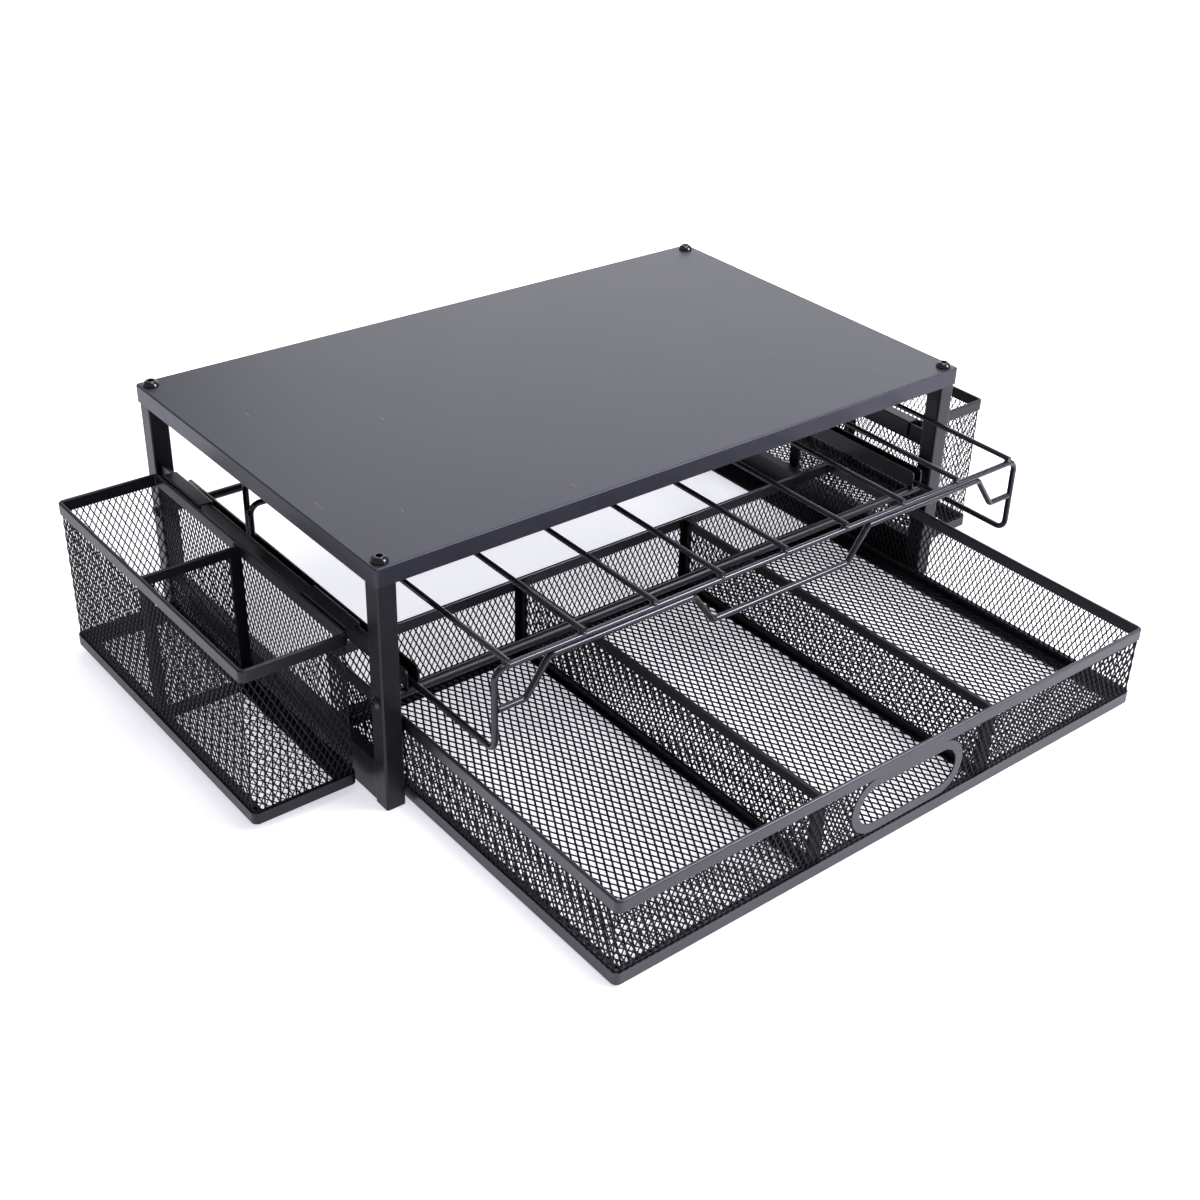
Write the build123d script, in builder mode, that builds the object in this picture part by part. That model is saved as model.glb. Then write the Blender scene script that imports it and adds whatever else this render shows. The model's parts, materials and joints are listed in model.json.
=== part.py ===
"""Desk riser for single-serve coffee pods, in powder-coated steel, in millimetres.

A sheet top on four square tube legs carries a pull-out wire rack for pods, a pull-out mesh drawer
and a mesh basket hooked over a rail on each side. The drawer and the rack are drawn partly
pulled out. +Z is up, the pieces pull out towards -Y, and the origin is on the floor, in the
middle of the whole object.
"""
import os

from build123d import *

# ---- stand -------------------------------------------------------------------------------
plate_width = 472.0
plate_depth = 292.0
stand_height = 167.0
plate_sheet = 1.2
plate_rim = 12.0
plate_corner = 2.5
plate_edge = 1.0

leg_width = 13.0
leg_wall = 1.0
leg_corner = 1.5
leg_plug = 1.5
leg_sole = 0.4

bar_diameter = 6.0
bar_height = 75.0

rail_height = 13.0
rail_top = 113.0
rail_sheet = 1.5
rail_inset = 3.6

channel_end_gap = 4.0
channel_height = 13.0
channel_sheet = 1.2
channel_bend = 2.0
channel_end = 3.0
channel_play = 1.3

runner_height = 28.0
runner_shelf = 21.0
runner_lip = 8.0
runner_sheet = 1.2

# ---- screws ------------------------------------------------------------------------------
top_screw_diameter = 6.0
top_screw_length = 10.0
top_screw_head = 10.5
top_screw_head_height = 3.3
top_screw_socket = 4.0
top_nut_diameter = 9.2
top_nut_height = 4.1

bar_screw_diameter = 4.0
bar_screw_grip = 10.0
bar_bore_depth = 12.0
bar_screw_head = 7.6
bar_screw_head_height = 2.2
bar_screw_socket = 2.5

socket_share = 0.6
head_crown_share = 0.42
head_side_share = 0.2
shank_end_share = 0.1
fold_round_share = 0.9
rail_round_share = 0.3
screw_clearance = 0.3
thread_clearance = 0.1

# ---- pod rack ----------------------------------------------------------------------------
rack_pull = 79.0
rack_side_gap = 7.8
rack_depth_play = 15.0
wire_diameter = 4.0
rod_diameter = 3.5
rod_count = 9
rod_margin = 10.0
rod_overhang = 1.5
rack_top_wire = 134.0
rack_bend = 7.0
rack_return = 20.0
grip_low = 108.0
grip_bend = 5.0
grip_middle = 112.0
grip_margin = 22.5
grip_slant = 16.0
stop_height = 114.0
slide_clearance = 0.3

# ---- mesh trays --------------------------------------------------------------------------
mesh_thickness = 1.0
opening_pitch = 36.0
opening_rib = 8.0
opening_limit = 12
bend_slit = 0.1
band_sheet = 0.8
tray_corner = 4.0
rim_round = 1.2
band_flange = 8.0

drawer_pull = 194.5
drawer_side_gap = 2.8
drawer_depth_play = 2.0
drawer_height = 57.5
drawer_rim = 8.0
drawer_band = 8.0
drawer_dividers = 2
divider_band = 6.0
divider_foot = 8.0
divider_end = 9.5
divider_drop = 1.5

grip_hole_width = 82.0
grip_hole_height = 27.0
grip_ring_band = 6.0

basket_width = 68.5
basket_depth = 240.0
basket_setback = 2.5
basket_height = 106.5
basket_top = 113.0
basket_rim = 8.0
basket_band = 7.5
basket_divider_offset = 9.0
basket_divider_drop = 2.0

hook_length = 50.0
hook_spacing = 177.0
hook_sheet = 1.2
hook_gap = 7.4
hook_lip = 11.5
hook_seat = 8.0
hook_clearance = 0.3

# ---- places worked out from the sizes ------------------------------------------------------
stand_y = drawer_pull / 2
stand = Plane((0, stand_y, 0))

leg_face_x = plate_width / 2 - plate_sheet
leg_face_y = plate_depth / 2 - plate_sheet
leg_height = stand_height - plate_sheet
leg_x = leg_face_x - leg_width / 2
leg_y = leg_face_y - leg_width / 2
leg_inner_x = leg_face_x - leg_width
leg_inner_y = leg_face_y - leg_width

rack_width = 2 * (leg_inner_x - rack_side_gap)
rack_depth = plate_depth - rack_depth_play
rod_pitch = (rack_width - 2 * rod_margin) / (rod_count - 1)
wire_x = (rack_width - wire_diameter) / 2
channel_length = plate_depth - 2 * channel_end_gap
channel_base = bar_height + bar_diameter / 2
channel_width = wire_diameter + 2 * (channel_play + channel_sheet)
slide_wire_z = channel_base + channel_sheet + slide_clearance + wire_diameter / 2
rack_front_y = -plate_depth / 2 - rack_pull + wire_diameter / 2
rack_rear_y = rack_front_y + rack_depth - wire_diameter
rod_z = rack_top_wire + (wire_diameter + rod_diameter) / 2
grip_high = rack_top_wire - wire_diameter

skin = 2 * band_sheet + mesh_thickness
drawer_width = 2 * (leg_inner_x - drawer_side_gap)
drawer_depth = plate_depth - drawer_depth_play
drawer_z = runner_sheet + slide_clearance
drawer_front_y = -plate_depth / 2 - drawer_pull
drawer_centre_y = stand_y + drawer_front_y + drawer_depth / 2
drawer_base = Plane((0, drawer_centre_y, drawer_z))
drawer_cell = (drawer_width - 2 * skin) / (drawer_dividers + 1)
grip_ring_height = grip_hole_height + 2 * grip_ring_band
grip_ring_z = drawer_height - drawer_rim - grip_ring_height / 2

runner_face_x = leg_face_x - leg_corner
rail_face_x = leg_face_x - rail_inset - rail_sheet
lip_face_x = rail_face_x - hook_clearance
basket_inner_x = lip_face_x + hook_gap + hook_sheet
basket_x = basket_inner_x + basket_width / 2
basket_z = basket_top - basket_height
hook_top = rail_top + hook_clearance + hook_sheet

SIDES = (("left", -1), ("right", 1))
ENDS = (("front", -1), ("rear", 1))


def save(part, name):
    """Label a finished piece and write it to its own file."""
    part.label = name
    export_step(part, f"parts/{name}.step")


def button_screw(head, head_height, socket, shank, length):
    """A button-head screw with a hex socket, standing on Z = 0 with its shank below."""
    crown = head_crown_share * head
    side = head_side_share * head_height
    with BuildPart() as screw:
        with BuildSketch(Plane.XZ):
            with BuildLine():
                Polyline((0, head_height), (0, -length), (shank / 2, -length), (shank / 2, 0))
                Polyline((shank / 2, 0), (head / 2, 0), (head / 2, side))
                RadiusArc((head / 2, side), (head / 2 - crown / 2, head_height), -crown)
                Line((head / 2 - crown / 2, head_height), (0, head_height))
            make_face()
        revolve(axis=Axis.Z)
        with BuildSketch(Plane.XY.offset(head_height)):
            RegularPolygon(socket / 2, 6, major_radius=False)
        extrude(amount=-socket_share * head_height, mode=Mode.SUBTRACT)
        chamfer(screw.edges().group_by(Axis.Z)[0], shank_end_share * shank)
    return screw.part


def ring(plane, width, depth, corner, inset, thickness, height):
    """A wall of one thickness round a rounded rectangle, set in from its outline."""
    outer = 2 * inset
    inner = 2 * (inset + thickness)
    with BuildPart() as wall:
        with BuildSketch(plane):
            RectangleRounded(width - outer, depth - outer, corner - inset)
            RectangleRounded(width - inner, depth - inner, corner - inset - thickness,
                             mode=Mode.SUBTRACT)
        extrude(amount=height)
    return wall.part


def tray_rim(base, width, depth, height, rim):
    """Sheet folded over the top edge of a mesh wall, all the way round."""
    with BuildPart() as band:
        add(ring(base.offset(height - rim), width, depth, tray_corner, 0, skin, rim))
        fillet(band.faces().sort_by(Axis.Z)[-1].edges(), rim_round)
        add(ring(base.offset(height - rim), width, depth, tray_corner, band_sheet,
                 mesh_thickness, rim - band_sheet), mode=Mode.SUBTRACT)
    return band.part


def tray_band(base, width, depth, band):
    """Folded band round the foot of a mesh wall, with a flange under the floor."""
    with BuildPart() as foot:
        add(ring(base, width, depth, tray_corner, 0, skin, band))
        add(ring(base.offset(band_sheet), width, depth, tray_corner, band_sheet,
                 mesh_thickness, band - band_sheet), mode=Mode.SUBTRACT)
        with BuildSketch(base):
            RectangleRounded(width - 2 * skin, depth - 2 * skin, tray_corner - skin)
            Rectangle(width - 2 * skin - 2 * band_flange, depth - 2 * skin - 2 * band_flange,
                      mode=Mode.SUBTRACT)
        extrude(amount=band_sheet)
    return foot.part


def open_grid(plane, length, height, reach):
    """Cutter for a plain grid of openings, centred on a plane, that stands for a mesh."""
    columns = min(opening_limit, max(1, round(length / opening_pitch)))
    rows = min(opening_limit, max(1, round(height / opening_pitch)))
    with BuildPart() as cutter:
        with BuildSketch(plane):
            with GridLocations(length / columns, height / rows, columns, rows):
                Rectangle(length / columns - opening_rib, height / rows - opening_rib)
        extrude(amount=reach, both=True)
    return cutter.part


def tray_wall(base, width, depth, height, rim, band):
    """The mesh strip that runs round a tray, in flat sheets with a slit at every bend."""
    clear = height - rim - band
    middle = base.offset(band + clear / 2)
    across = Plane(middle.origin, x_dir=(1, 0, 0), z_dir=(0, -1, 0))
    along = Plane(middle.origin, x_dir=(0, 1, 0), z_dir=(1, 0, 0))
    with BuildPart() as wall:
        add(ring(base.offset(band_sheet), width, depth, tray_corner, band_sheet,
                 mesh_thickness, height - 2 * band_sheet))
        add(open_grid(across, width - 2 * tray_corner, clear, depth), mode=Mode.SUBTRACT)
        add(open_grid(along, depth - 2 * tray_corner, clear, width), mode=Mode.SUBTRACT)
        with BuildSketch(base):
            with Locations((tray_corner - width / 2, 0), (width / 2 - tray_corner, 0)):
                Rectangle(bend_slit, depth)
            with Locations((0, tray_corner - depth / 2), (0, depth / 2 - tray_corner)):
                Rectangle(width, bend_slit)
        extrude(amount=height, mode=Mode.SUBTRACT)
    return wall.part


def tray_floor(base, width, depth):
    """The mesh sheet that lies on the flange of the band."""
    with BuildPart() as sheet:
        with BuildSketch(base.offset(band_sheet)):
            RectangleRounded(width - 2 * skin, depth - 2 * skin, tray_corner - skin)
        extrude(amount=mesh_thickness)
        add(open_grid(base, width - 2 * skin - band_flange, depth - 2 * skin - band_flange,
                      skin), mode=Mode.SUBTRACT)
    return sheet.part


def divider_binding(plane, length, height):
    """Folded band round a mesh divider: plane.x runs along it and plane.y up it."""
    with BuildPart() as binding:
        with BuildSketch(plane):
            with Locations((0, height / 2)):
                Rectangle(length, height)
                Rectangle(length - 2 * divider_band, height - 2 * divider_band, mode=Mode.SUBTRACT)
        extrude(amount=skin / 2, both=True)
        with BuildSketch(plane):
            with Locations((0, height / 2)):
                Rectangle(length - 2 * band_sheet, height - 2 * band_sheet)
        extrude(amount=mesh_thickness / 2, both=True, mode=Mode.SUBTRACT)
        with BuildSketch(plane):
            with Locations((-(length - band_sheet) / 2, height / 2),
                           ((length - band_sheet) / 2, height / 2)):
                Rectangle(band_sheet, height)
        extrude(amount=divider_end / 2, both=True)
        with BuildSketch(plane):
            with Locations((0, band_sheet / 2)):
                Rectangle(length, band_sheet)
        extrude(amount=divider_foot / 2, both=True)
    return binding.part


def divider_sheet(plane, length, height):
    """The mesh sheet held in a divider's binding."""
    middle = Plane(plane.from_local_coords((0, height / 2, 0)), x_dir=plane.x_dir,
                   z_dir=plane.z_dir)
    with BuildPart() as sheet:
        with BuildSketch(middle):
            Rectangle(length - 2 * band_sheet, height - 2 * band_sheet)
        extrude(amount=mesh_thickness / 2, both=True)
        add(open_grid(middle, length - 2 * divider_band, height - 2 * divider_band, skin),
            mode=Mode.SUBTRACT)
    return sheet.part


def wire(*points, bend=rack_bend):
    """A round wire along straight runs joined by tangent bends."""
    with BuildPart() as rod:
        with BuildLine() as path:
            FilletPolyline(*points, radius=bend)
        with BuildSketch(Plane(path.line @ 0, z_dir=path.line % 0)):
            Circle(wire_diameter / 2)
        sweep()
    return rod.part


os.makedirs("parts", exist_ok=True)

# ---- top plate: a sheet with its four edges folded down -----------------------------------
with BuildPart() as top_plate:
    with BuildSketch(stand.offset(stand_height - plate_rim)):
        RectangleRounded(plate_width, plate_depth, plate_corner)
    extrude(amount=plate_rim)
    fillet(top_plate.faces().sort_by(Axis.Z)[-1].edges(), plate_edge)
    with BuildSketch(stand.offset(stand_height - plate_rim)):
        RectangleRounded(2 * leg_face_x, 2 * leg_face_y, plate_corner - plate_sheet)
    extrude(amount=plate_rim - plate_sheet, mode=Mode.SUBTRACT)
    with BuildSketch(stand.offset(stand_height)):
        with GridLocations(2 * leg_x, 2 * leg_y, 2, 2):
            Circle(top_screw_diameter / 2 + screw_clearance)
    extrude(amount=-plate_sheet, mode=Mode.SUBTRACT)
save(top_plate.part, "top_plate")

# ---- legs: square tubes, each closed by a plug under the plate --------------------------------
bore = leg_width - 2 * leg_wall
for end, sy in ENDS:
    for side, sx in SIDES:
        with BuildPart() as leg:
            with BuildSketch(stand):
                with Locations((sx * leg_x, sy * leg_y)):
                    RectangleRounded(leg_width, leg_width, leg_corner)
            extrude(amount=leg_height)
            chamfer(leg.edges().group_by(Axis.Z)[0], leg_sole)
            with BuildSketch(stand):
                with Locations((sx * leg_x, sy * leg_y)):
                    RectangleRounded(bore, bore, leg_corner - leg_wall)
            extrude(amount=leg_height - leg_plug, mode=Mode.SUBTRACT)
            with BuildSketch(stand.offset(leg_height)):
                with Locations((sx * leg_x, sy * leg_y)):
                    Circle(top_screw_diameter / 2 + screw_clearance)
            extrude(amount=-leg_plug, mode=Mode.SUBTRACT)
            with BuildSketch(Plane((sx * leg_face_x, stand_y + sy * leg_y, bar_height),
                                   z_dir=(sx, 0, 0))):
                Circle(bar_screw_diameter / 2 + screw_clearance)
            extrude(amount=-leg_width, mode=Mode.SUBTRACT)
        save(leg.part, f"leg_{end}_{side}")

# ---- screws and nuts of the top -------------------------------------------------------------
top_screw = button_screw(top_screw_head, top_screw_head_height, top_screw_socket,
                         top_screw_diameter, top_screw_length)
with BuildPart() as top_screws:
    with Locations(stand.offset(stand_height)):
        with GridLocations(2 * leg_x, 2 * leg_y, 2, 2):
            add(top_screw)
save(top_screws.part, "top_screws")

with BuildPart() as top_nuts:
    with BuildSketch(stand.offset(leg_height - leg_plug)):
        with GridLocations(2 * leg_x, 2 * leg_y, 2, 2):
            Circle(top_nut_diameter / 2)
            Circle(top_screw_diameter / 2 + thread_clearance, mode=Mode.SUBTRACT)
    extrude(amount=-top_nut_height)
save(top_nuts.part, "top_nuts")

# ---- cross bars between the legs, and the screws that reach them through the legs -------------
for end, sy in ENDS:
    with BuildPart() as cross_bar:
        with BuildSketch(Plane((0, stand_y + sy * leg_y, bar_height), z_dir=(1, 0, 0))):
            Circle(bar_diameter / 2)
        extrude(amount=leg_inner_x, both=True)
        for side, sx in SIDES:
            with BuildSketch(Plane((sx * leg_inner_x, stand_y + sy * leg_y, bar_height),
                                   z_dir=(sx, 0, 0))):
                Circle(bar_screw_diameter / 2 + thread_clearance)
            extrude(amount=-bar_bore_depth, mode=Mode.SUBTRACT)
    save(cross_bar.part, f"cross_bar_{end}")

bar_screw = button_screw(bar_screw_head, bar_screw_head_height, bar_screw_socket,
                         bar_screw_diameter, leg_width + bar_screw_grip)
with BuildPart() as cross_bar_screws:
    for end, sy in ENDS:
        for side, sx in SIDES:
            with Locations(Plane((sx * leg_face_x, stand_y + sy * leg_y, bar_height),
                                 z_dir=(sx, 0, 0))):
                add(bar_screw)
save(cross_bar_screws.part, "cross_bar_screws")

# ---- beams along each side: basket rail, rack channel and drawer runner ----------------------
for side, sx in SIDES:
    beam = Plane((0, stand_y, 0), x_dir=(sx, 0, 0), z_dir=(0, -sx, 0))

    with BuildPart() as side_rail:
        with BuildSketch(beam):
            with Locations((rail_face_x + rail_sheet / 2, rail_top - rail_height / 2)):
                Rectangle(rail_sheet, rail_height)
        extrude(amount=leg_inner_y, both=True)
        fillet(side_rail.edges().filter_by(Axis.Y), rail_round_share * rail_sheet)
    save(side_rail.part, f"side_rail_{side}")

    with BuildPart() as slide_channel:
        with BuildSketch(beam):
            with Locations((wire_x, channel_base + channel_height / 2)):
                Rectangle(channel_width, channel_height)
        extrude(amount=channel_length / 2, both=True)
        fillet(slide_channel.edges().filter_by(Axis.Y).group_by(Axis.Z)[0], channel_bend)
        fillet(slide_channel.edges().filter_by(Axis.X).group_by(Axis.Z)[-1], channel_end)
        with BuildSketch(beam):
            with Locations((wire_x, channel_base + channel_height / 2 + channel_sheet)):
                Rectangle(channel_width - 2 * channel_sheet, channel_height)
        extrude(amount=channel_length / 2, both=True, mode=Mode.SUBTRACT)
    save(slide_channel.part, f"slide_channel_{side}")

    with BuildPart() as drawer_runner:
        with BuildSketch(beam):
            with Locations((runner_face_x - runner_sheet / 2, runner_height / 2)):
                Rectangle(runner_sheet, runner_height)
            with Locations((runner_face_x - runner_shelf / 2, runner_sheet / 2)):
                Rectangle(runner_shelf, runner_sheet)
            with Locations((runner_face_x - runner_lip / 2, runner_height - runner_sheet / 2)):
                Rectangle(runner_lip, runner_sheet)
        extrude(amount=leg_inner_y, both=True)
    save(drawer_runner.part, f"drawer_runner_{side}")

# ---- pod rack: two bent hoops, two slide wires and a row of rods ------------------------------
front_y = stand_y + rack_front_y
rear_y = stand_y + rack_rear_y
for end, y, inward in (("front", front_y, rack_return), ("rear", rear_y, -rack_return)):
    hoop = wire((-wire_x, y + inward, slide_wire_z), (-wire_x, y, slide_wire_z),
                (-wire_x, y, rack_top_wire), (wire_x, y, rack_top_wire),
                (wire_x, y, slide_wire_z), (wire_x, y + inward, slide_wire_z))
    save(hoop, f"rack_hoop_{end}")

for side, sx in SIDES:
    with BuildPart() as slide_wire:
        with BuildSketch(Plane((sx * wire_x, front_y + rack_return, slide_wire_z),
                               z_dir=(0, 1, 0))):
            Circle(wire_diameter / 2)
        extrude(amount=rear_y - front_y - 2 * rack_return)
    save(slide_wire.part, f"rack_slide_wire_{side}")

for index in range(rod_count):
    rod_x = (index - (rod_count - 1) / 2) * rod_pitch
    with BuildPart() as rack_rod:
        with BuildSketch(Plane((rod_x, front_y - rod_overhang, rod_z), z_dir=(0, 1, 0))):
            Circle(rod_diameter / 2)
        extrude(amount=rear_y - front_y + 2 * rod_overhang)
    save(rack_rod.part, f"rack_rod_{index + 1}")

grip_end = wire_x - wire_diameter / 2
half_low = grip_middle / 2
half_high = half_low + grip_slant
outer_low = rack_width / 2 - grip_margin
outer_high = outer_low - grip_slant
grip_half = ((half_low, grip_low), (half_high, grip_high), (outer_high, grip_high),
             (outer_low, grip_low), (grip_end, grip_low))
grip_points = [(-x, front_y, z) for x, z in reversed(grip_half)]
grip_points += [(x, front_y, z) for x, z in grip_half]
save(wire(*grip_points, bend=grip_bend), "rack_grip_wire")

stop_y = rear_y - wire_diameter
stop_foot = slide_wire_z + rack_bend
stop_wire = wire((-wire_x, stop_y, stop_foot), (-wire_x, stop_y, stop_height),
                 (wire_x, stop_y, stop_height), (wire_x, stop_y, stop_foot))
save(stop_wire, "rack_stop_wire")

# ---- drawer ------------------------------------------------------------------------------------
save(tray_floor(drawer_base, drawer_width, drawer_depth), "drawer_floor")
save(tray_rim(drawer_base, drawer_width, drawer_depth, drawer_height, drawer_rim), "drawer_rim")
save(tray_band(drawer_base, drawer_width, drawer_depth, drawer_band), "drawer_band")

ring_plane = Plane((0, stand_y + drawer_front_y, drawer_z + grip_ring_z), x_dir=(1, 0, 0),
                   z_dir=(0, -1, 0))
with BuildPart() as drawer_wall:
    add(tray_wall(drawer_base, drawer_width, drawer_depth, drawer_height, drawer_rim,
                  drawer_band))
    with BuildSketch(ring_plane.offset(-band_sheet)):
        SlotOverall(grip_hole_width + 2 * grip_ring_band, grip_ring_height)
    extrude(amount=-mesh_thickness)
    with BuildSketch(ring_plane):
        SlotOverall(grip_hole_width, grip_hole_height)
    extrude(amount=-skin, mode=Mode.SUBTRACT)
save(drawer_wall.part, "drawer_wall")

with BuildPart() as drawer_grip_ring:
    with BuildSketch(ring_plane):
        SlotOverall(grip_hole_width + 2 * grip_ring_band, grip_ring_height)
        SlotOverall(grip_hole_width, grip_hole_height, mode=Mode.SUBTRACT)
    extrude(amount=-band_sheet)
save(drawer_grip_ring.part, "drawer_grip_ring")

divider_floor = drawer_z + band_sheet + mesh_thickness
divider_height = drawer_height - divider_drop - band_sheet - mesh_thickness
divider_length = drawer_depth - 2 * skin
for index in range(drawer_dividers):
    divider_x = (index + 1 - (drawer_dividers + 1) / 2) * drawer_cell
    divider = Plane((divider_x, drawer_centre_y, divider_floor), x_dir=(0, 1, 0),
                    z_dir=(1, 0, 0))
    save(divider_sheet(divider, divider_length, divider_height), f"drawer_divider_{index + 1}")
    save(divider_binding(divider, divider_length, divider_height),
         f"drawer_divider_binding_{index + 1}")

# ---- side baskets --------------------------------------------------------------------------------
basket_divider_height = basket_height - basket_divider_drop - band_sheet - mesh_thickness
for side, sx in SIDES:
    base = Plane((sx * basket_x, stand_y + basket_setback, basket_z))
    save(tray_floor(base, basket_width, basket_depth), f"basket_{side}_floor")
    save(tray_wall(base, basket_width, basket_depth, basket_height, basket_rim, basket_band),
         f"basket_{side}_wall")
    save(tray_rim(base, basket_width, basket_depth, basket_height, basket_rim),
         f"basket_{side}_rim")
    save(tray_band(base, basket_width, basket_depth, basket_band), f"basket_{side}_band")

    divider = Plane((sx * basket_x, stand_y + basket_divider_offset,
                     basket_z + band_sheet + mesh_thickness), x_dir=(1, 0, 0),
                    z_dir=(0, -1, 0))
    basket_clear = basket_width - 2 * skin
    save(divider_sheet(divider, basket_clear, basket_divider_height),
         f"basket_{side}_divider")
    save(divider_binding(divider, basket_clear, basket_divider_height),
         f"basket_{side}_divider_binding")

    hook_plane = Plane((0, stand_y, 0), x_dir=(sx, 0, 0), z_dir=(0, -sx, 0))
    with BuildPart() as basket_hooks:
        for hook_y in (-hook_spacing / 2, hook_spacing / 2):
            with BuildSketch(hook_plane.offset(sx * hook_y)):
                with BuildLine():
                    Polyline((basket_inner_x, basket_top - hook_seat),
                             (basket_inner_x, hook_top),
                             (lip_face_x - hook_sheet, hook_top),
                             (lip_face_x - hook_sheet, hook_top - hook_lip),
                             (lip_face_x, hook_top - hook_lip),
                             (lip_face_x, hook_top - hook_sheet),
                             (basket_inner_x - hook_sheet, hook_top - hook_sheet),
                             (basket_inner_x - hook_sheet, basket_top - hook_seat),
                             close=True)
                make_face()
            extrude(amount=hook_length / 2, both=True)
        bends = basket_hooks.edges().filter_by(Axis.Y).group_by(Axis.Z)[-1]
        fillet(bends, fold_round_share * hook_sheet)
    save(basket_hooks.part, f"basket_{side}_hooks")
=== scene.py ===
"""Looks of a steel desk riser with a pod rack, a mesh drawer and two hooked baskets.

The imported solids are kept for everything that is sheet, wire or screw, and get their
finishes here. Every sheet of expanded steel is drawn here as real diamonds of strand and
stands for the plain sheet of its node. All lengths are in metres.
"""
import json
import logging
import math
from dataclasses import dataclass
from enum import Enum

import bmesh
import bpy
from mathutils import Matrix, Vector

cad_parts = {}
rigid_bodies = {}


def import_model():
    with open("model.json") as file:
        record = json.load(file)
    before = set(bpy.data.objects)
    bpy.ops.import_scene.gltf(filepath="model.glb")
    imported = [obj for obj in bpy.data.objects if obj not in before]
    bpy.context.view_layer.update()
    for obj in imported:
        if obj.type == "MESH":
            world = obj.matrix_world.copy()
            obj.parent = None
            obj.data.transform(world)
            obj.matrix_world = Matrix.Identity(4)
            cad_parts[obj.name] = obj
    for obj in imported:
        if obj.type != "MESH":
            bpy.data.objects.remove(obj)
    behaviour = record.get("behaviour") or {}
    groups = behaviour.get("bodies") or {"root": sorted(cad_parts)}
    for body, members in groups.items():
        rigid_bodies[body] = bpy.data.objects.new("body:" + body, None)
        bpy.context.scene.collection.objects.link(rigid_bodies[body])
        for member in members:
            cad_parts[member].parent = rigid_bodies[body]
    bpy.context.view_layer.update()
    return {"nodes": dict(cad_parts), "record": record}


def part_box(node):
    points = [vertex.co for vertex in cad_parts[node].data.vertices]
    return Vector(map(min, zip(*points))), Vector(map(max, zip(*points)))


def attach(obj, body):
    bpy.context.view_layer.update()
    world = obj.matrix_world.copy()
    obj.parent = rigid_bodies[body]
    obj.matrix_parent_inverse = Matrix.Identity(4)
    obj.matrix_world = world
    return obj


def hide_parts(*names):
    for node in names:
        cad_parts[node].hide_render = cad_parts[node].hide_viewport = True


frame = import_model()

MM = 0.001
MERGE = 0.05 * MM
SEAM_MERGE = 4 * MERGE
CORNER_SEGMENTS = 8

# Sockets of the Mix node, which names several of them alike.
MIX_FACTOR, MIX_LOW, MIX_HIGH = 0, 2, 3
MIX_COLOUR_LOW, MIX_COLOUR_HIGH, MIX_COLOUR_OUT = 6, 7, 2

logging.basicConfig(level=logging.INFO, format="%(message)s")
log = logging.getLogger("desk_riser")


class Slot(Enum):
    """Material slots that the record names."""

    SHEET = "satin_black_sheet"
    MESH = "black_mesh"
    WIRE = "black_wire"
    FASTENER = "gloss_black_fasteners"


class Side(Enum):
    """The two sides of the riser, and the sign of X on each."""

    LEFT = ("left", -1)
    RIGHT = ("right", 1)


# ---- finishes ----------------------------------------------------------------------------


def linear(colour: str) -> tuple[float, float, float, float]:
    """Turn an sRGB hex colour into the linear colour that a shader takes.

    Args:
        colour: the colour as "#rrggbb".

    Returns:
        Linear red, green, blue and an alpha of 1.
    """
    parts = [int(colour[i:i + 2], 16) / 255 for i in (1, 3, 5)]
    toned = [c / 12.92 if c <= 0.04045 else ((c + 0.055) / 1.055) ** 2.4 for c in parts]
    return (*toned, 1.0)


def per_metre(size_mm: float) -> float:
    """Scale of a texture whose features are about size_mm across."""
    return 1.0 / (size_mm * MM)


def add_node(tree: bpy.types.NodeTree, kind: str, settings: dict | None = None,
             inputs: dict | None = None) -> bpy.types.Node:
    """Add a node to a tree, with its settings and what feeds it.

    Args:
        tree: the node tree.
        kind: the node's type.
        settings: attributes of the node and their values.
        inputs: sockets by name or number, each with a value or the socket that feeds it.

    Returns:
        The new node.
    """
    node = tree.nodes.new(kind)
    for key, value in (settings or {}).items():
        setattr(node, key, value)
    for key, value in (inputs or {}).items():
        if isinstance(value, bpy.types.NodeSocket):
            tree.links.new(value, node.inputs[key])
        else:
            node.inputs[key].default_value = value
    return node


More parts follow.
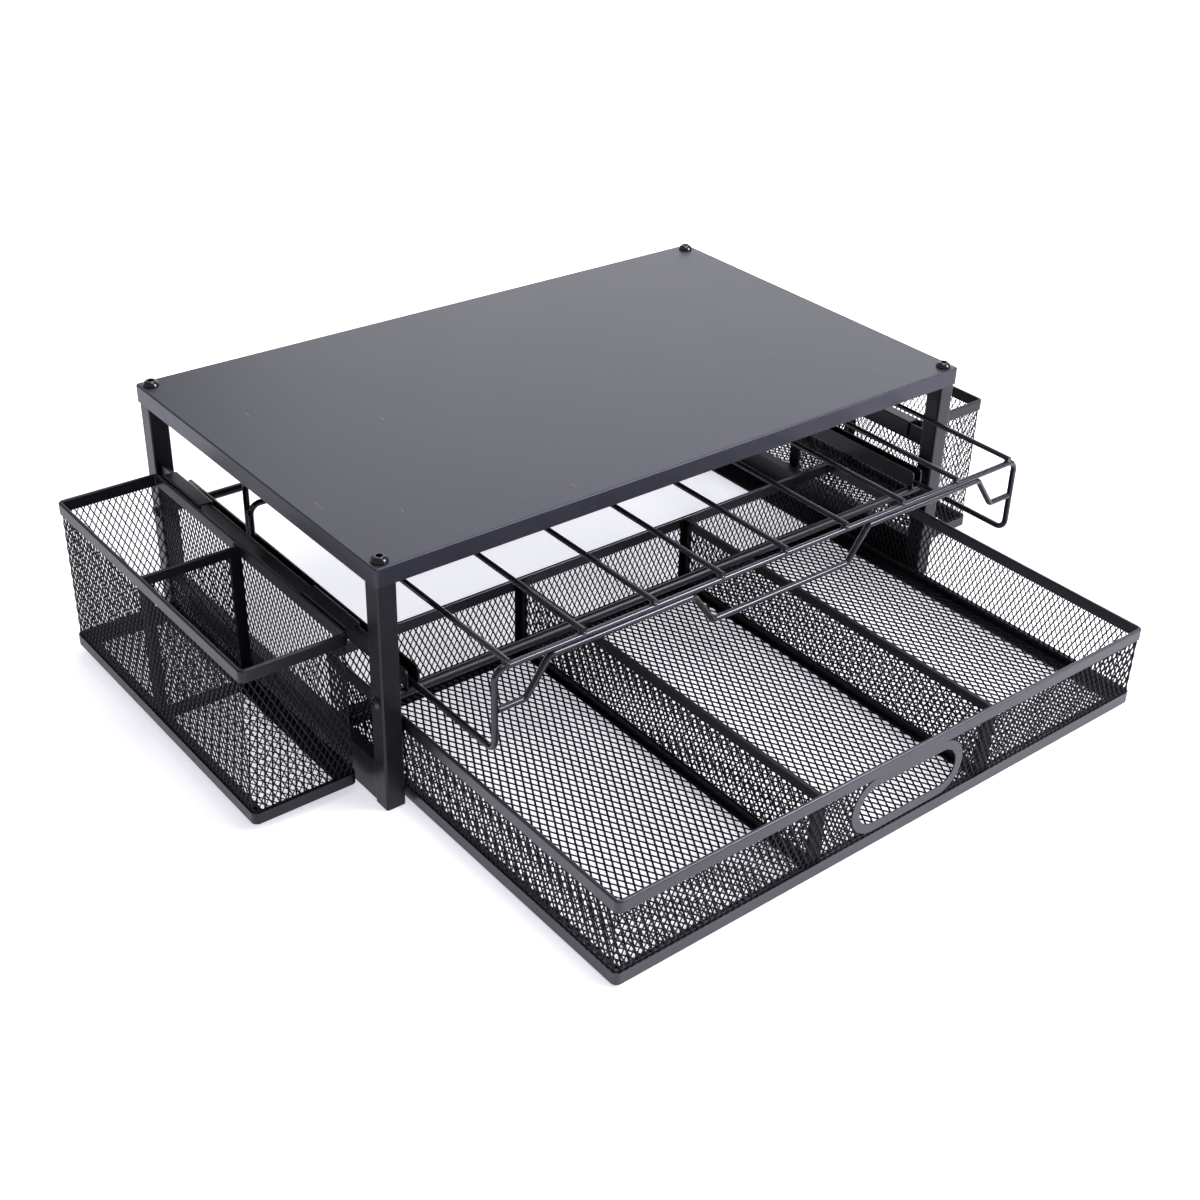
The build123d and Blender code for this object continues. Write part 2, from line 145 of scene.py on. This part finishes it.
@dataclass(frozen=True)
class Scuffs:
    """A few short pale rub marks that handling leaves on a coat, in scattered patches."""

    colour: str = "#8f8a80"
    turn: float = 64.0
    width_mm: float = 2.2
    length_mm: float = 26.0
    patch_mm: float = 55.0
    streak_range: tuple[float, float] = (0.7, 0.8)
    patch_range: tuple[float, float] = (0.56, 0.66)

    def lay(self, tree: bpy.types.NodeTree, place: bpy.types.NodeSocket,
            colour: bpy.types.NodeSocket) -> bpy.types.NodeSocket:
        """Lay the marks over a coat's colour.

        Args:
            tree: the material's node tree.
            place: object coordinates.
            colour: the coat's colour.

        Returns:
            The colour with the rub marks in it.
        """
        across = per_metre(self.width_mm)
        turned = add_node(tree, "ShaderNodeMapping", None,
                          {"Vector": place, "Rotation": (0.0, 0.0, math.radians(self.turn)),
                           "Scale": (across, per_metre(self.length_mm), across)})
        streak = add_node(tree, "ShaderNodeTexNoise", {"noise_dimensions": "3D"},
                          {"Vector": turned.outputs["Vector"], "Scale": 1.0, "Detail": 3.0})
        patch = add_node(tree, "ShaderNodeTexNoise", {"noise_dimensions": "3D"},
                         {"Vector": place, "Scale": per_metre(self.patch_mm), "Detail": 0.0})
        marks = add_node(tree, "ShaderNodeMapRange", None,
                         {"Value": streak.outputs["Fac"], "From Min": self.streak_range[0],
                          "From Max": self.streak_range[1]})
        where = add_node(tree, "ShaderNodeMapRange", None,
                         {"Value": patch.outputs["Fac"], "From Min": self.patch_range[0],
                          "From Max": self.patch_range[1]})
        share = add_node(tree, "ShaderNodeMath", {"operation": "MULTIPLY"},
                         {0: marks.outputs["Result"], 1: where.outputs["Result"]})
        mixed = add_node(tree, "ShaderNodeMix", {"data_type": "RGBA"},
                         {"Factor": share.outputs["Value"], MIX_COLOUR_LOW: colour,
                          MIX_COLOUR_HIGH: linear(self.colour)})
        return mixed.outputs[MIX_COLOUR_OUT]


@dataclass(frozen=True)
class PowderCoat:
    """Black polyester powder baked on steel.

    The powder melts into a satin skin with a faint orange peel, so highlights are broad
    and a little uneven, and grazing light shows the ripple.
    """

    name: str
    colour: str
    tint: str
    roughness: float
    roughness_spread: float = 0.06
    peel_mm: float = 1.6
    peel_height_mm: float = 0.012
    cloud_mm: float = 70.0
    cloud_range: tuple[float, float] = (0.3, 0.7)
    ior: float = 1.5
    specular: float = 0.6
    sheen_tint: str = "#e6e6ff"
    scuffs: Scuffs | None = None

    def build(self) -> bpy.types.Material:
        """Make the material.

        Returns:
            The powder-coat material.
        """
        material = bpy.data.materials.new(self.name)
        material.use_nodes = True
        tree = material.node_tree
        tree.nodes.clear()
        place = add_node(tree, "ShaderNodeTexCoord").outputs["Object"]
        cloud = add_node(tree, "ShaderNodeTexNoise", {"noise_dimensions": "3D"},
                         {"Vector": place, "Scale": per_metre(self.cloud_mm), "Detail": 3.0})
        tone = add_node(tree, "ShaderNodeMix", {"data_type": "RGBA"},
                        {"Factor": cloud.outputs["Fac"], MIX_COLOUR_LOW: linear(self.colour),
                         MIX_COLOUR_HIGH: linear(self.tint)})
        colour = tone.outputs[MIX_COLOUR_OUT]
        if self.scuffs:
            colour = self.scuffs.lay(tree, place, colour)
        peel = add_node(tree, "ShaderNodeTexNoise", None,
                        {"Vector": place, "Scale": per_metre(self.peel_mm), "Detail": 2.0})
        gloss = add_node(tree, "ShaderNodeMapRange", None,
                         {"Value": cloud.outputs["Fac"],
                          "From Min": self.cloud_range[0], "From Max": self.cloud_range[1],
                          "To Min": self.roughness - self.roughness_spread,
                          "To Max": self.roughness + self.roughness_spread})
        bump = add_node(tree, "ShaderNodeBump", None,
                        {"Strength": 1.0, "Distance": self.peel_height_mm * MM,
                         "Height": peel.outputs["Fac"]})
        shader = add_node(tree, "ShaderNodeBsdfPrincipled", None,
                          {"Base Color": colour, "Roughness": gloss.outputs["Result"],
                           "IOR": self.ior, "Specular IOR Level": self.specular,
                           "Specular Tint": linear(self.sheen_tint),
                           "Normal": bump.outputs["Normal"]})
        add_node(tree, "ShaderNodeOutputMaterial", None, {"Surface": shader.outputs["BSDF"]})
        return material


@dataclass(frozen=True)
class SeamlessFloor:
    """White studio paper that takes a soft shadow near the object.

    Beyond the shadow it glows up to plain white, so the far edge doesn't show.
    """

    name: str = "white_studio_paper"
    colour: str = "#e6e6e6"
    glow: str = "#f4f4ff"
    lift: float = 0.6
    near: float = 0.5
    far: float = 1.8

    def build(self) -> bpy.types.Material:
        """Make the floor's material.

        Returns:
            The paper material.
        """
        material = bpy.data.materials.new(self.name)
        material.use_nodes = True
        tree = material.node_tree
        tree.nodes.clear()
        paper = add_node(tree, "ShaderNodeBsdfDiffuse", None, {"Color": linear(self.colour)})
        path = add_node(tree, "ShaderNodeLightPath")
        seen = add_node(tree, "ShaderNodeMath", {"operation": "ADD"},
                        {0: path.outputs["Is Camera Ray"], 1: path.outputs["Is Glossy Ray"]})
        shown = add_node(tree, "ShaderNodeMath", {"operation": "ADD", "use_clamp": True},
                         {0: seen.outputs["Value"], 1: path.outputs["Is Transmission Ray"]})
        place = add_node(tree, "ShaderNodeTexCoord").outputs["Object"]
        away = add_node(tree, "ShaderNodeVectorMath", {"operation": "LENGTH"}, {0: place})
        rise = add_node(tree, "ShaderNodeMapRange", {"interpolation_type": "SMOOTHSTEP"},
                        {"Value": away.outputs["Value"], "From Min": self.near,
                         "From Max": self.far, "To Min": self.lift, "To Max": 1.0})
        level = add_node(tree, "ShaderNodeMath", {"operation": "MULTIPLY"},
                         {0: shown.outputs["Value"], 1: rise.outputs["Result"]})
        glow = add_node(tree, "ShaderNodeEmission", None,
                        {"Color": linear(self.glow), "Strength": level.outputs["Value"]})
        both = add_node(tree, "ShaderNodeAddShader", None,
                        {0: paper.outputs["BSDF"], 1: glow.outputs["Emission"]})
        add_node(tree, "ShaderNodeOutputMaterial", None, {"Surface": both.outputs["Shader"]})
        return material


# Folded sheet and tube under the top: a darker, duller copy of the one black coat, a skin that
# hardly mirrors the room; painted shade for the parts in the top's shadow.
SHEET_COAT_PAINTED_SHADE = PowderCoat("satin_powder_coated_sheet_steel_painted_shade", "#101013", "#141417", 0.36,
                        specular=0.36)
# The drawer's folded bands: a lighter, shinier copy of the same black coat, plain grey where it
# faces the light; painted light for the bands out of the top's shadow.
DRAWER_COAT_PAINTED_LIGHT = PowderCoat("satin_powder_coated_drawer_bands_painted_light", "#131316", "#18181b", 0.32,
                         specular=0.66)
# The top plate: an even satin sheen that brightens slowly to the back, with a few rub marks.
PLATE_COAT = PowderCoat("satin_powder_coated_top_plate", "#131318", "#17171d", 0.38,
                        roughness_spread=0.008, sheen_tint="#d8d8ff", scuffs=Scuffs())
# Drawn wire: a thinner, smoother coat with narrow highlights along the wire.
WIRE_COAT = PowderCoat("satin_powder_coated_steel_wire", "#0c0c0e", "#111113", 0.17,
                       roughness_spread=0.03, peel_mm=1.1, peel_height_mm=0.006)
# Expanded mesh: matt, nearly black strands, so that the openings read as clean holes.
MESH_COAT = PowderCoat("satin_powder_coated_expanded_steel", "#08080a", "#0c0c0e", 0.45,
                       peel_mm=0.9, specular=0.3)
# Screws: hard gloss black with a small sharp highlight on each head.
SCREW_COAT = PowderCoat("gloss_black_zinc_plated_screw", "#08080a", "#0c0c0e", 0.14,
                        roughness_spread=0.03, peel_mm=0.8, peel_height_mm=0.003)

COATS = {Slot.SHEET: SHEET_COAT_PAINTED_SHADE, Slot.MESH: MESH_COAT, Slot.WIRE: WIRE_COAT,
         Slot.FASTENER: SCREW_COAT}


# ---- modelling by hand -------------------------------------------------------------------


def clear_selection() -> None:
    """Leave nothing selected, so that an operator acts on the new piece alone."""
    for item in bpy.context.scene.objects:
        item.select_set(False)
    bpy.context.view_layer.objects.active = None


def only(obj: bpy.types.Object) -> None:
    """Select one object and make it the active one."""
    clear_selection()
    obj.select_set(True)
    bpy.context.view_layer.objects.active = obj


def apply_modifier(obj: bpy.types.Object, kind: str, **settings: object) -> None:
    """Add a modifier with its settings and apply it.

    Args:
        obj: the object that is changed.
        kind: the modifier's type.
        settings: attributes of the modifier.
    """
    only(obj)
    modifier = obj.modifiers.new(kind.lower(), kind)
    for key, value in settings.items():
        setattr(modifier, key, value)
    bpy.ops.object.modifier_apply(modifier=modifier.name)


def settle(obj: bpy.types.Object, at: Vector, turn: float = 0.0) -> None:
    """Turn and move a piece, and put its place into its mesh.

    Args:
        obj: the piece.
        at: how far it moves.
        turn: its turn about Z, in radians.
    """
    only(obj)
    obj.rotation_euler.z += turn
    obj.location += at
    bpy.ops.object.transform_apply(location=True, rotation=True, scale=True)


@dataclass(frozen=True)
class Expanded:
    """A grade of expanded steel: the diamond's short and long way, and its strand.

    The baskets have thinner strands than the drawer.
    """

    short_way: float
    long_way: float
    strand: float


WALL_GRADE = Expanded(4.4 * MM, 9.0 * MM, 1.08 * MM)
FLOOR_GRADE = Expanded(5.2 * MM, 9.45 * MM, 1.3 * MM)
FINE_WALL_GRADE = Expanded(4.4 * MM, 9.0 * MM, 0.85 * MM)
FINE_FLOOR_GRADE = Expanded(5.2 * MM, 9.45 * MM, 1.0 * MM)


@dataclass
class ExpandedSheet:
    """One sheet of expanded steel, drawn flat as a net of diamonds."""

    name: str
    grade: Expanded
    length: float
    height: float

    def net(self) -> bpy.types.Object:
        """Draw the flat net, standing on the X axis from the origin.

        Returns:
            The net, with a face in each diamond.
        """
        columns = round(self.length / self.grade.short_way)
        rows = math.ceil(self.height / self.grade.long_way)
        tall = rows * self.grade.long_way
        clear_selection()
        bpy.ops.mesh.primitive_grid_add(x_subdivisions=columns, y_subdivisions=rows, size=1,
                                        rotation=(math.pi / 2, 0, 0))
        sheet = bpy.context.object
        sheet.name = self.name
        bpy.ops.object.transform_apply(location=True, rotation=True, scale=True)
        bpy.ops.object.mode_set(mode="EDIT")
        bpy.ops.mesh.select_all(action="SELECT")
        bpy.ops.transform.resize(value=(self.length, 1, tall))
        bpy.ops.transform.translate(value=(self.length / 2, 0, tall / 2))
        bpy.ops.mesh.poke()
        self.open_diamonds(sheet)
        bpy.ops.mesh.select_all(action="SELECT")
        bpy.ops.mesh.bisect(plane_co=(0, 0, self.height), plane_no=(0, 0, 1), clear_outer=True)
        bpy.ops.object.mode_set(mode="OBJECT")
        return sheet

    @staticmethod
    def open_diamonds(sheet: bpy.types.Object) -> None:
        """Dissolve the straight edges of the poked grid, which leaves the diamonds."""
        bpy.ops.mesh.select_mode(type="EDGE")
        bpy.ops.mesh.select_all(action="DESELECT")
        drawn = bmesh.from_edit_mesh(sheet.data)
        for edge in drawn.edges:
            run = edge.verts[0].co - edge.verts[1].co
            straight = min(abs(run.x), abs(run.z)) < MERGE
            edge.select = straight and not edge.is_boundary
        bmesh.update_edit_mesh(sheet.data)
        bpy.ops.mesh.dissolve_edges(use_verts=False)

    def draw_strands(self, sheet: bpy.types.Object) -> bpy.types.Object:
        """Turn every edge of the net into a square strand.

        Args:
            sheet: the net.

        Returns:
            The same object as solid strands.
        """
        apply_modifier(sheet, "WIREFRAME", thickness=self.grade.strand, offset=0.0,
                       use_even_offset=True, use_boundary=True, use_replace=True)
        return sheet


def outline_curve(width: float, depth: float, corner: float) -> bpy.types.Object:
    """Draw a rounded rectangle as a closed curve round the origin.

    Args:
        width: its size along X.
        depth: its size along Y.
        corner: the radius of its corners.

    Returns:
        The curve.
    """
    clear_selection()
    bpy.ops.mesh.primitive_plane_add(size=1)
    bpy.ops.object.mode_set(mode="EDIT")
    bpy.ops.mesh.select_all(action="SELECT")
    bpy.ops.transform.resize(value=(width, depth, 1))
    bpy.ops.mesh.bevel(affect="VERTICES", offset=corner, segments=CORNER_SEGMENTS)
    bpy.ops.mesh.select_all(action="SELECT")
    bpy.ops.mesh.delete(type="ONLY_FACE")
    bpy.ops.object.mode_set(mode="OBJECT")
    bpy.ops.object.convert(target="CURVE")
    return bpy.context.object


# ---- sub-assemblies ----------------------------------------------------------------------


@dataclass
class MeshTray:
    """A tray of expanded steel: the drawer, or one side basket."""

    body: str
    dividers: tuple[str, ...]
    wall_grade: Expanded = WALL_GRADE
    floor_grade: Expanded = FLOOR_GRADE
    thickness: float = 1.0 * MM
    corner: float = 2.7 * MM
    floor_clearance: float = 0.6 * MM

    def build(self, coat: bpy.types.Material) -> None:
        """Make the wall, the floor and the dividers, and dress them.

        Args:
            coat: the finish of the strands.
        """
        self.finish(self.wall(), f"{self.body}_wall", coat)
        self.finish(self.floor(), f"{self.body}_floor", coat)
        for node in self.dividers:
            self.finish(self.divider(node), node, coat)

    def finish(self, piece: bpy.types.Object, node: str, coat: bpy.types.Material) -> None:
        """Dress a piece and let it stand for its node.

        Args:
            piece: the drawn sheet.
            node: the node that it stands for.
            coat: its finish.
        """
        piece.data.materials.clear()
        piece.data.materials.append(coat)
        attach(piece, self.body)
        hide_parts(node)
        log.info("%s: %d faces", piece.name, len(piece.data.polygons))

    def wall(self) -> bpy.types.Object:
        """Wrap one net round the tray, with no seam at its corners.

        Returns:
            The wall as strands.
        """
        low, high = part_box(f"{self.body}_wall")
        width = high.x - low.x - self.thickness
        depth = high.y - low.y - self.thickness
        shortened = 2 - math.pi / 2
        length = 2 * (width + depth) - 4 * shortened * self.corner
        sheet = ExpandedSheet(f"{self.body}_mesh_wall", self.wall_grade, length,
                              high.z - low.z)
        strip = sheet.net()
        track = outline_curve(width, depth, self.corner)
        apply_modifier(strip, "CURVE", object=track, deform_axis="POS_X")
        bpy.data.objects.remove(track)
        only(strip)
        bpy.ops.object.mode_set(mode="EDIT")
        bpy.ops.mesh.select_all(action="SELECT")
        bpy.ops.mesh.remove_doubles(threshold=SEAM_MERGE)
        bpy.ops.object.mode_set(mode="OBJECT")
        settle(strip, Vector(((low.x + high.x) / 2, (low.y + high.y) / 2, low.z)))
        self.pierce(strip)
        return sheet.draw_strands(strip)

    def pierce(self, strip: bpy.types.Object) -> None:
        """Leave the wall whole: only the drawer has a hole in its wall."""

    def floor(self) -> bpy.types.Object:
        """Lay a net on the flange of the foot band, long way to the back.

        Returns:
            The floor as strands.
        """
        low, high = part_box(f"{self.body}_floor")
        spare = self.floor_clearance
        sheet = ExpandedSheet(f"{self.body}_mesh_floor", self.floor_grade,
                              high.x - low.x - 2 * spare, high.y - low.y - 2 * spare)
        lying = sheet.net()
        only(lying)
        lying.rotation_euler.x = -math.pi / 2
        bpy.ops.object.transform_apply(location=True, rotation=True, scale=True)
        settle(lying, Vector((low.x + spare, low.y + spare, (low.z + high.z) / 2)))
        return sheet.draw_strands(lying)

    def divider(self, node: str) -> bpy.types.Object:
        """Stand a net in the binding of a divider.

        Args:
            node: the divider's node, whose box says which way it runs.

        Returns:
            The divider as strands.
        """
        low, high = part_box(node)
        size = high - low
        along_y = size.y > size.x
        sheet = ExpandedSheet(f"{node}_mesh", self.wall_grade, max(size.x, size.y), size.z)
        standing = sheet.net()
        middle = (low + high) / 2
        if along_y:
            settle(standing, Vector((middle.x, low.y, low.z)), math.pi / 2)
        else:
            settle(standing, Vector((low.x, middle.y, low.z)))
        return sheet.draw_strands(standing)


@dataclass
class Drawer(MeshTray):
    """The pull-out tray, with an oblong hole for the fingers in its front."""

    hole_margin: float = 0.8 * MM
    ring_band: float = 6.0 * MM
    front_reach: float = 3.0 * MM

    def pierce(self, strip: bpy.types.Object) -> None:
        """Cut the diamonds away inside the ring, so the strands end behind its band.

        Args:
            strip: the wrapped net.
        """
        low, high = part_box("drawer_grip_ring")
        middle = (low + high) / 2
        reach = (high.z - low.z) / 2 - self.ring_band + self.hole_margin
        straight = (high.x - low.x) / 2 - self.ring_band + self.hole_margin - reach
        only(strip)
        bpy.ops.object.mode_set(mode="EDIT")
        bpy.ops.mesh.select_mode(type="VERT")
        bpy.ops.mesh.select_all(action="DESELECT")
        drawn = bmesh.from_edit_mesh(strip.data)
        for point in drawn.verts:
            across = max(abs(point.co.x - middle.x) - straight, 0.0)
            up = point.co.z - middle.z
            at_front = point.co.y < high.y + self.front_reach
            point.select = at_front and math.hypot(across, up) < reach
        bmesh.update_edit_mesh(strip.data)
        bpy.ops.mesh.delete(type="VERT")
        bpy.ops.object.mode_set(mode="OBJECT")


@dataclass
class PodRack:
    """The sliding wire rack: its wires are kept, and the welds are added."""

    body: str = "wire_rack"
    rods: int = 9
    wire: float = 4.0 * MM
    bead_length: float = 5.2 * MM
    bead_width: float = 4.4 * MM
    bead_height: float = 2.6 * MM
    bead_segments: int = 14
    bead_rings: int = 8

    def build(self, coat: bpy.types.Material) -> None:
        """Set a weld under each end of each rod.

        Args:
            coat: the finish of the wires.
        """
        first = self.bead()
        beads = []
        for y in self.crossings():
            for index in range(self.rods):
                low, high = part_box(f"rack_rod_{index + 1}")
                bead = first.copy()
                bead.data = first.data.copy()
                bpy.context.scene.collection.objects.link(bead)
                settle(bead, Vector(((low.x + high.x) / 2, y, low.z)))
                beads.append(bead)
        bpy.data.objects.remove(first)
        clear_selection()
        for bead in beads:
            bead.select_set(True)
        bpy.context.view_layer.objects.active = beads[0]
        bpy.ops.object.join()
        welds = bpy.context.object
        welds.name = "rack_rod_welds"
        welds.data.materials.clear()
        welds.data.materials.append(coat)
        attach(welds, self.body)
        log.info("%s: %d beads", welds.name, len(beads))

    def crossings(self) -> tuple[float, float]:
        """Places in Y of the two cross wires that the rods lie on."""
        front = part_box("rack_hoop_front")[0].y + self.wire / 2
        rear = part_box("rack_hoop_rear")[1].y - self.wire / 2
        return front, rear

    def bead(self) -> bpy.types.Object:
        """Shape one squeezed-out weld bead at the origin.

        Returns:
            The bead: a ball pressed flat.
        """
        clear_selection()
        bpy.ops.mesh.primitive_uv_sphere_add(segments=self.bead_segments,
                                             ring_count=self.bead_rings, radius=0.5)
        bead = bpy.context.object
        bpy.ops.object.mode_set(mode="EDIT")
        bpy.ops.mesh.select_all(action="SELECT")
        bpy.ops.transform.resize(value=(self.bead_length, self.bead_width, self.bead_height))
        bpy.ops.object.mode_set(mode="OBJECT")
        bpy.ops.object.shade_smooth()
        return bead


@dataclass
class Coating:
    """Puts a finish on every solid that is kept."""

    # The drawer's rim, band and grip ring take the lighter, shinier coat that is painted light.
    own: tuple[tuple[str, PowderCoat], ...] = (
        ("top_plate", PLATE_COAT), ("drawer_rim", DRAWER_COAT_PAINTED_LIGHT), ("drawer_band", DRAWER_COAT_PAINTED_LIGHT),
        ("drawer_grip_ring", DRAWER_COAT_PAINTED_LIGHT))
    # Divider bindings: the mesh's darker, matt coat in place of their sheet coat, painted shade
    # on the divider tops.
    painted_shade_part: str = "_divider_binding"

    def build(self, coats: dict[Slot, bpy.types.Material]) -> None:
        """Dress each node from its slot in the record, or with its own finish; the divider
        bindings take the mesh slot instead, as painted shade.

        Args:
            coats: the finish of each slot.
        """
        made = {coat: coat.build() for coat in dict.fromkeys(coat for _, coat in self.own)}
        own = {name: made[coat] for name, coat in self.own}
        for subpart in frame["record"]["subparts"]:
            name = subpart["node"]
            slot = Slot.MESH if self.painted_shade_part in name else Slot(subpart["material_slot"])
            node = frame["nodes"][name]
            node.data.materials.clear()
            node.data.materials.append(own.get(name, coats[slot]))
        log.info("coated %d nodes", len(frame["nodes"]))


# ---- studio ------------------------------------------------------------------------------


@dataclass(frozen=True)
class Softbox:
    """A large soft lamp that faces a point on the object."""

    name: str
    at: tuple[float, float, float]
    width: float
    power: float
    aim: tuple[float, float, float] = (0.0, 0.05, 0.05)

    def build(self) -> bpy.types.Object:
        """Hang the lamp.

        Returns:
            The lamp.
        """
        data = bpy.data.lights.new(self.name, "AREA")
        data.shape = "SQUARE"
        data.size = self.width
        data.energy = self.power
        lamp = bpy.data.objects.new(self.name, data)
        lamp.location = self.at
        facing = Vector(self.aim) - Vector(self.at)
        lamp.rotation_euler = facing.to_track_quat("-Z", "Y").to_euler()
        bpy.context.scene.collection.objects.link(lamp)
        return lamp


@dataclass
class Studio:
    """Floor, lamps, surroundings and camera."""

    lamps: tuple[Softbox, ...] = (
        Softbox("top_softbox", (0.3, -0.2, 2.2), 1.2, 24.0),
        Softbox("right_softbox", (1.3, -1.5, 1.5), 0.9, 60.0),
        Softbox("rear_softbox", (1.9, 1.9, 1.6), 2.8, 36.0),
    )
    horizon: float = 0.5
    zenith: float = 0.35
    fill: float = 0.55
    camera_at: tuple[float, float, float] = (-0.64465, -0.74762, 0.64795)
    camera_turn: tuple[float, float, float] = (58.930, -2.547, -40.046)
    lens: float = 51.57
    shift: tuple[float, float] = (-0.0562, -0.0160)
    sensor_width: float = 36.0
    floor_size: float = 12.0
    floor_drop: float = 0.1 * MM
    sky_range: tuple[float, float] = (0.35, 0.95)
    white: str = "#ffffff"

    def build(self) -> None:
        """Set up everything round the object."""
        self.lay_floor()
        self.surroundings()
        for lamp in self.lamps:
            lamp.build()
        self.set_camera()
        bpy.context.scene.view_settings.view_transform = "Standard"
        log.info("studio is set")

    def lay_floor(self) -> None:
        """Lay the white paper that the riser stands on."""
        clear_selection()
        bpy.ops.mesh.primitive_plane_add(size=self.floor_size,
                                         location=(0, 0, -self.floor_drop))
        floor = bpy.context.object
        floor.name = "studio_floor"
        floor.data.materials.append(SeamlessFloor().build())

    def surroundings(self) -> None:
        """White to the camera, a grey room in reflections, darker overhead, and a soft fill."""
        world = bpy.data.worlds.new("white_studio")
        world.use_nodes = True
        tree = world.node_tree
        tree.nodes.clear()
        path = add_node(tree, "ShaderNodeLightPath")
        mirrored = add_node(tree, "ShaderNodeMath", {"operation": "ADD", "use_clamp": True},
                            {0: path.outputs["Is Glossy Ray"],
                             1: path.outputs["Is Transmission Ray"]})
        ray = add_node(tree, "ShaderNodeTexCoord")
        up = add_node(tree, "ShaderNodeSeparateXYZ", None, {"Vector": ray.outputs["Generated"]})
        sky = add_node(tree, "ShaderNodeMapRange", {"interpolation_type": "SMOOTHSTEP"},
                       {"Value": up.outputs["Z"],
                        "From Min": self.sky_range[0], "From Max": self.sky_range[1],
                        "To Min": self.horizon, "To Max": self.zenith})
        soft = add_node(tree, "ShaderNodeMix", {"data_type": "FLOAT"},
                        {MIX_FACTOR: mirrored.outputs["Value"], MIX_LOW: self.fill,
                         MIX_HIGH: sky.outputs["Result"]})
        level = add_node(tree, "ShaderNodeMix", {"data_type": "FLOAT"},
                         {MIX_FACTOR: path.outputs["Is Camera Ray"],
                          MIX_LOW: soft.outputs[0], MIX_HIGH: 1.0})
        glow = add_node(tree, "ShaderNodeBackground", None,
                        {"Color": linear(self.white), "Strength": level.outputs[0]})
        add_node(tree, "ShaderNodeOutputWorld", None, {"Surface": glow.outputs["Background"]})
        bpy.context.scene.world = world

    def set_camera(self) -> None:
        """Put the camera at its place, with its lens and shift."""
        data = bpy.data.cameras.new("camera")
        data.lens = self.lens
        data.sensor_width = self.sensor_width
        data.shift_x, data.shift_y = self.shift
        camera = bpy.data.objects.new("camera", data)
        camera.location = self.camera_at
        camera.rotation_euler = [math.radians(angle) for angle in self.camera_turn]
        bpy.context.scene.collection.objects.link(camera)
        bpy.context.scene.camera = camera


def main() -> None:
    """Build every sub-assembly in order, then the studio."""
    coats = {slot: coat.build() for slot, coat in COATS.items()}
    Coating().build(coats)
    Drawer("drawer", ("drawer_divider_1", "drawer_divider_2")).build(coats[Slot.MESH])
    for side in Side:
        body = f"basket_{side.value[0]}"
        MeshTray(body, (f"{body}_divider",), FINE_WALL_GRADE,
                 FINE_FLOOR_GRADE).build(coats[Slot.MESH])
    PodRack().build(coats[Slot.WIRE])
    Studio().build()


if __name__ == "__main__":
    main()
